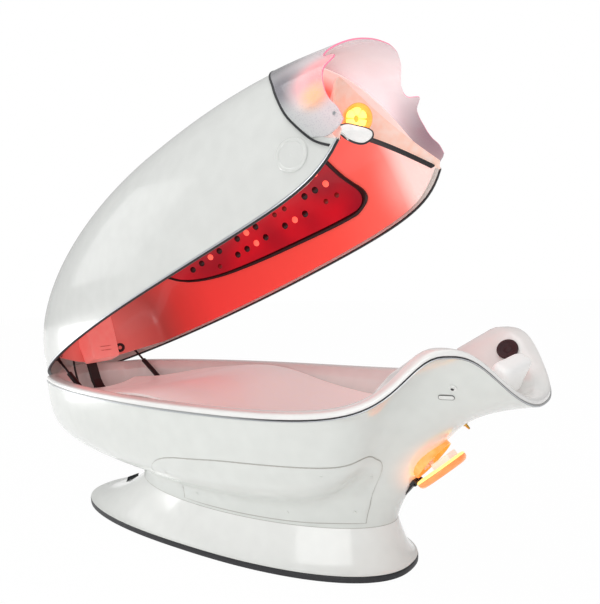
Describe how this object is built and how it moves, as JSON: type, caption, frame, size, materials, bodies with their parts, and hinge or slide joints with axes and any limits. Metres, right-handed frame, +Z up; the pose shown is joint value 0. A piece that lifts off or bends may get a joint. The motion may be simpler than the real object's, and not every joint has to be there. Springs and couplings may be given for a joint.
{
  "type": "infrared wellness pod",
  "caption": "Capsule wellness pod: oval tub on a flared plinth, canopy hinged at the foot end on gas struts, with heater, smoked visor and face lamp.",
  "frame": {"origin": "on the floor, at the centre of the plinth's oval foot", "axes": "+X towards the head end, +Z up, +Y to the side away from the service panel"},
  "size_m": [2.2242, 0.88, 1.6751],
  "materials": {
    "gel_white": "gloss",
    "interior_pink": "satin",
    "black_rubber": "matte",
    "black_metal": "satin",
    "steel": "satin",
    "frame_grey": "satin",
    "grey_plastic": "satin",
    "visor_smoke": "translucent, speckled",
    "heater_red": "gloss, lit",
    "led_salmon": "lit",
    "emitter_dark": "satin",
    "lamp_orange": "translucent, lit",
    "lamp_yellow": "lit",
    "amber": "translucent, lit",
    "pillow_white": "soft",
    "speaker_maroon": "satin",
    "brass": "satin",
    "board_green": "satin",
    "zinc": "satin",
    "bed_cream": "satin"
  },
  "bodies": {
    "base": {"floor_trim": "black_rubber", "base_pan": "frame_grey", "levelling_feet": "steel", "plinth_skirt": "gel_white", "lower_shell": "gel_white", "service_panel": "gel_white", "panel_screws": "steel", "rim_accent": "black_rubber", "tub_liner": "gel_white", "bed_panel": "bed_cream", "bed_mounts": "grey_plastic", "head_pillow": "pillow_white", "speaker_near": "speaker_maroon", "speaker_far": "speaker_maroon", "pedestal_frame": "frame_grey", "power_supply": "zinc", "control_unit": "board_green", "circulation_blower": "grey_plastic", "vibration_motors": "steel", "power_inlet": "grey_plastic", "button_bezel": "steel", "control_plate": "gel_white", "hinge_bracket": "black_metal", "bracket_bolts": "steel", "strut_clevises": "steel", "canopy_cable": "black_rubber", "aroma_cup": "gel_white", "aroma_bulb": "lamp_yellow", "aroma_cartridge": "gel_white", "aroma_hinge": "black_metal", "air_nozzle": "brass"},
    "canopy": {"canopy_shell": "gel_white", "canopy_liner": "interior_pink", "canopy_seal": "black_rubber", "heater_bezel": "black_rubber", "heater_lens": "heater_red", "ir_emitters": "emitter_dark", "red_leds": "led_salmon", "visor": "visor_smoke", "visor_seam": "black_rubber", "visor_screws": "steel", "brow_panel": "interior_pink", "face_lip": "gel_white", "arch_seal": "black_rubber", "lamp_housing": "lamp_orange", "lamp_lens": "lamp_yellow", "emblem_boss": "gel_white", "hinge_cover": "interior_pink", "hinge_arms": "black_metal", "hinge_pin": "steel", "strut_studs": "steel", "vent_grommets": "black_rubber"},
    "button": {"rim_button": "grey_plastic"},
    "door": {"aroma_door": "amber"},
    "cylinder_near": {"strut_cylinder_near": "black_metal"},
    "cylinder_far": {"strut_cylinder_far": "black_metal"},
    "rod_near": {"strut_rod_near": "steel"},
    "rod_far": {"strut_rod_far": "steel"}
  },
  "joints": [
    {"name": "canopy_hinge", "type": "hinge", "parent": "base", "child": "canopy", "pos_m": [-0.866, 0, 0.6285], "axis": [0, -1, 0], "range_deg": [-21.13, 8], "deforming": ["canopy_cable"]},
    {"name": "aroma_door_hinge", "type": "hinge", "parent": "base", "child": "door", "pos_m": [0.80869, 0, 0.29288], "axis": [0, 1, 0], "range_deg": [-12, 40]},
    {"name": "rim_button_press", "type": "slide", "parent": "base", "child": "button", "axis": [0.1, -0.7944, -0.5991], "range_m": [-0.002, 0], "stiffness_N_per_m": 400, "springref_m": 0.002},
    {"name": "strut_pivot_near", "type": "hinge", "parent": "base", "child": "cylinder_near", "pos_m": [-0.596, -0.205, 0.482], "axis": [0, -1, 0], "range_deg": [-2.5, 4.8]},
    {"name": "strut_stroke_near", "type": "slide", "parent": "cylinder_near", "child": "rod_near", "axis": [-0.7956, 0, 0.6058], "range_m": [-0.016, 0.0065]},
    {"name": "strut_pivot_far", "type": "hinge", "parent": "base", "child": "cylinder_far", "pos_m": [-0.596, 0.205, 0.482], "axis": [0, -1, 0], "range_deg": [-2.5, 4.8]},
    {"name": "strut_stroke_far", "type": "slide", "parent": "cylinder_far", "child": "rod_far", "axis": [-0.7956, 0, 0.6058], "range_m": [-0.016, 0.0065]}
  ],
  "couplings": [
    {"joint": "strut_pivot_near", "follows": "canopy_hinge", "ratio": -0.17631},
    {"joint": "strut_stroke_near", "follows": "canopy_hinge", "m_per_rad": 0.04035},
    {"joint": "strut_pivot_far", "follows": "canopy_hinge", "ratio": -0.17631},
    {"joint": "strut_stroke_far", "follows": "canopy_hinge", "m_per_rad": 0.04035}
  ]
}
